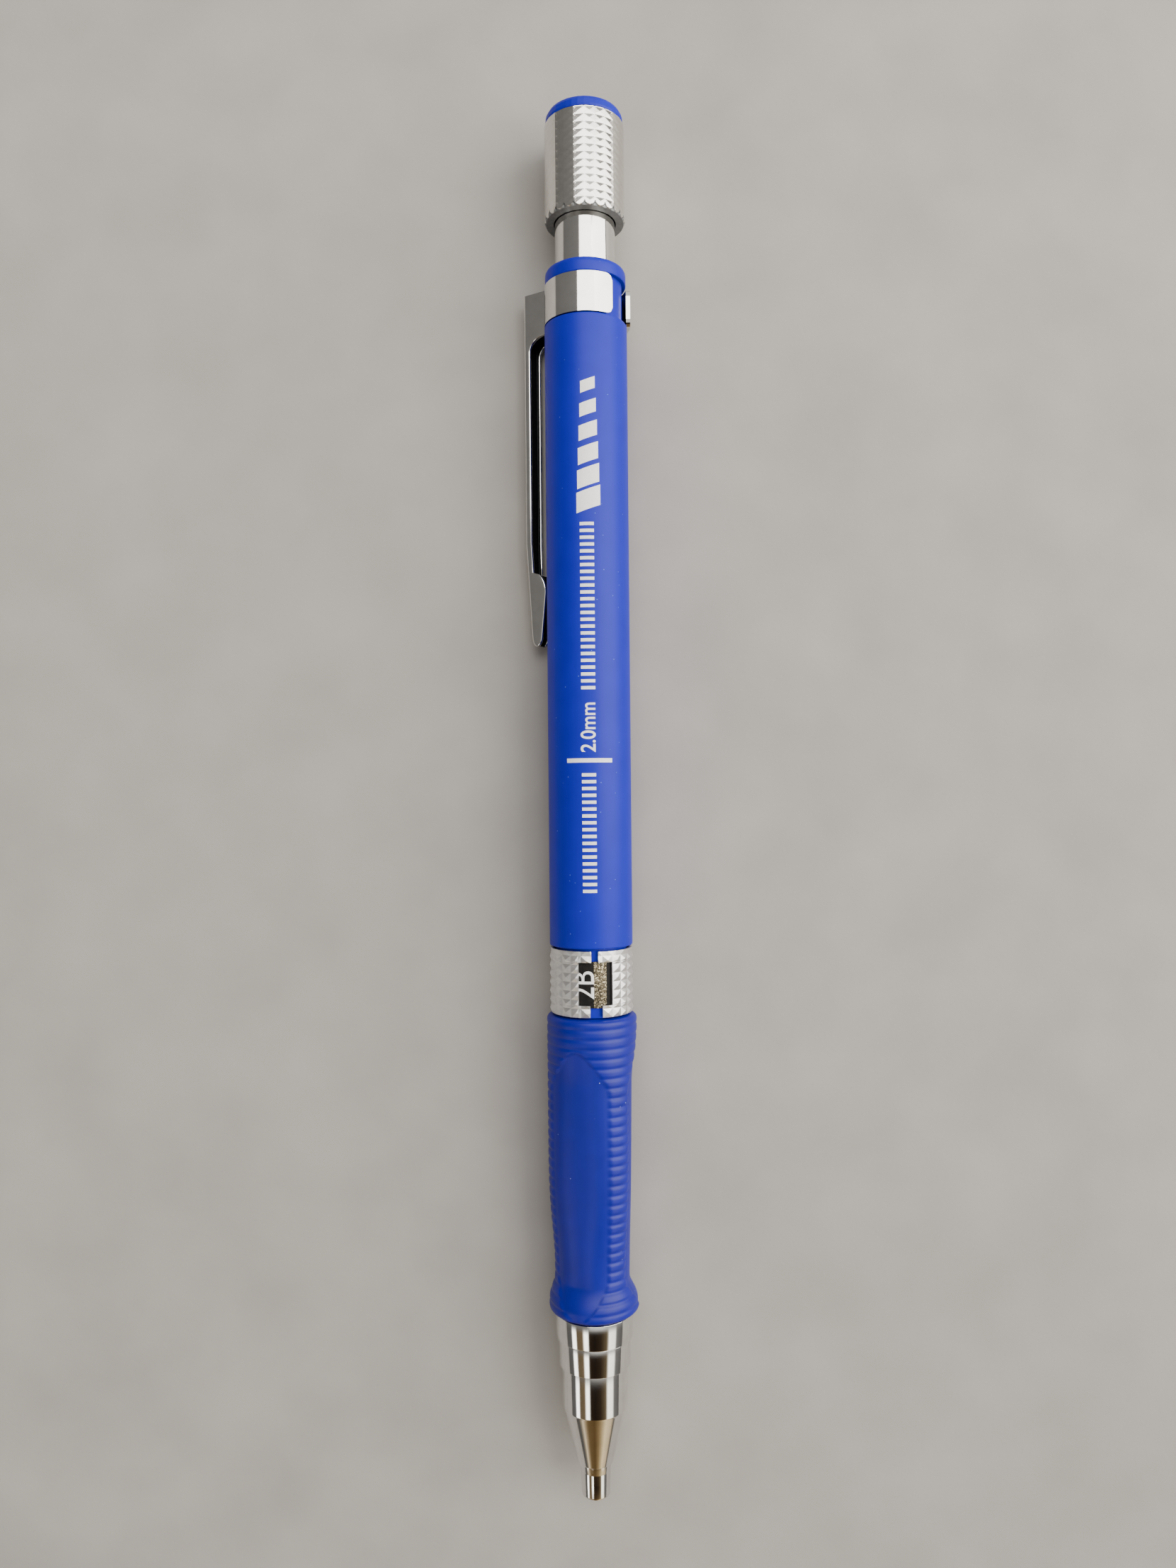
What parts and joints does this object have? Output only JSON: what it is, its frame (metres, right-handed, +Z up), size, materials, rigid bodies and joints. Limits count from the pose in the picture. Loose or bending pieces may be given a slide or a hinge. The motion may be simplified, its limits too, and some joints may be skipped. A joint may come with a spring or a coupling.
{
  "type": "mechanical pencil",
  "caption": "Click pencil for thick lead, with a stepped metal nose, moulded rubber grip, turning lead-grade ring, pocket clip and knurled push button that holds a lead pointer.",
  "frame": {"origin": "middle of the pencil's footprint, on the table that it lies on", "axes": "+Y along the pencil from nozzle to push button, +Z up from the table, clip low on the -X side"},
  "size_m": [0.0118, 0.15, 0.0098],
  "materials": {
    "abs_blue": "satin moulded ABS, royal blue",
    "grip_rubber": "matt moulded rubber, royal blue",
    "rubber_black": "matt black rubber",
    "label_print": "gloss black film printed with a lead grade and a glitter stripe",
    "acetal_white": "natural acetal",
    "polypropylene": "milky extruded tube",
    "graphite": "graphite lead, slight sheen",
    "nose_chrome": "turned and bright plated",
    "clip_chrome": "pressed sheet, bright plated",
    "tube_chrome": "drawn tube, bright plated",
    "knob_nickel": "knurled and bright plated",
    "satin_aluminium": "satin, knurled",
    "brass": "turned brass",
    "spring_steel": "bright steel"
  },
  "bodies": {
    "barrel_body": {"barrel": "abs_blue", "nose_cone": "nose_chrome", "nozzle": "nose_chrome", "lead_retainer": "rubber_black", "grip": "grip_rubber", "grade_label": "label_print", "clip_band": "clip_chrome", "thrust_sleeve": "acetal_white", "chuck_spring": "spring_steel"},
    "push_rod": {"chuck": "brass", "connector": "acetal_white", "lead_tube": "polypropylene", "push_tube": "tube_chrome"},
    "button": {"knob_sleeve": "knob_nickel", "sharpener_insert": "abs_blue", "sharpener_blade": "spring_steel"},
    "chuck_ring": {"chuck_ring": "brass"},
    "lead": {"lead": "graphite"},
    "grade_ring": {"grade_ring": "satin_aluminium"},
    "clip_arm": {"clip_arm": "clip_chrome"},
    "chuck_jaw_0": {"chuck_jaw_0": "brass"},
    "chuck_jaw_1": {"chuck_jaw_1": "brass"},
    "chuck_jaw_2": {"chuck_jaw_2": "brass"}
  },
  "joints": [
    {"name": "button_push", "type": "slide", "parent": "barrel_body", "child": "push_rod", "axis": [0, -1, 0], "range_m": [0, 0.004], "stiffness_N_per_m": 400, "springref_m": -0.006, "deforming": ["chuck_spring"]},
    {"name": "button_pull", "type": "slide", "parent": "push_rod", "child": "button", "axis": [0, 1, 0], "range_m": [0, 0.012]},
    {"name": "chuck_ring_slide", "type": "slide", "parent": "barrel_body", "child": "chuck_ring", "axis": [0, -1, 0], "range_m": [0, 0.0012]},
    {"name": "lead_feed", "type": "slide", "parent": "barrel_body", "child": "lead", "axis": [0, -1, 0], "range_m": [0, 0.006]},
    {"name": "grade_ring_turn", "type": "hinge", "parent": "barrel_body", "child": "grade_ring", "pos_m": [0.00104, -0.0191, 0.00488], "axis": [0, 1, 0], "continuous": true},
    {"name": "clip_flex", "type": "hinge", "parent": "barrel_body", "child": "clip_arm", "pos_m": [-0.00512, 0.0515, 0.00115], "axis": [0.5185, 0, -0.8551], "range_deg": [0, 4], "stiffness_Nm_per_rad": 0.04, "springref_deg": -5.73},
    {"name": "jaw_0_open", "type": "hinge", "parent": "push_rod", "child": "chuck_jaw_0", "pos_m": [0.0012, -0.048, 0.00616], "axis": [-0.9925, 0, 0.1219], "range_deg": [0, 0.86]},
    {"name": "jaw_1_open", "type": "hinge", "parent": "push_rod", "child": "chuck_jaw_1", "pos_m": [0.00207, -0.048, 0.0041], "axis": [0.6018, 0, 0.7986], "range_deg": [0, 0.86]},
    {"name": "jaw_2_open", "type": "hinge", "parent": "push_rod", "child": "chuck_jaw_2", "pos_m": [-0.00015, -0.048, 0.00438], "axis": [0.3907, 0, -0.9205], "range_deg": [0, 0.86]}
  ],
  "couplings": [
    {"joint": "chuck_ring_slide", "follows": "button_push", "ratio": 0.3},
    {"joint": "jaw_0_open", "follows": "button_push", "rad_per_m": 3.75},
    {"joint": "jaw_1_open", "follows": "button_push", "rad_per_m": 3.75},
    {"joint": "jaw_2_open", "follows": "button_push", "rad_per_m": 3.75}
  ]
}
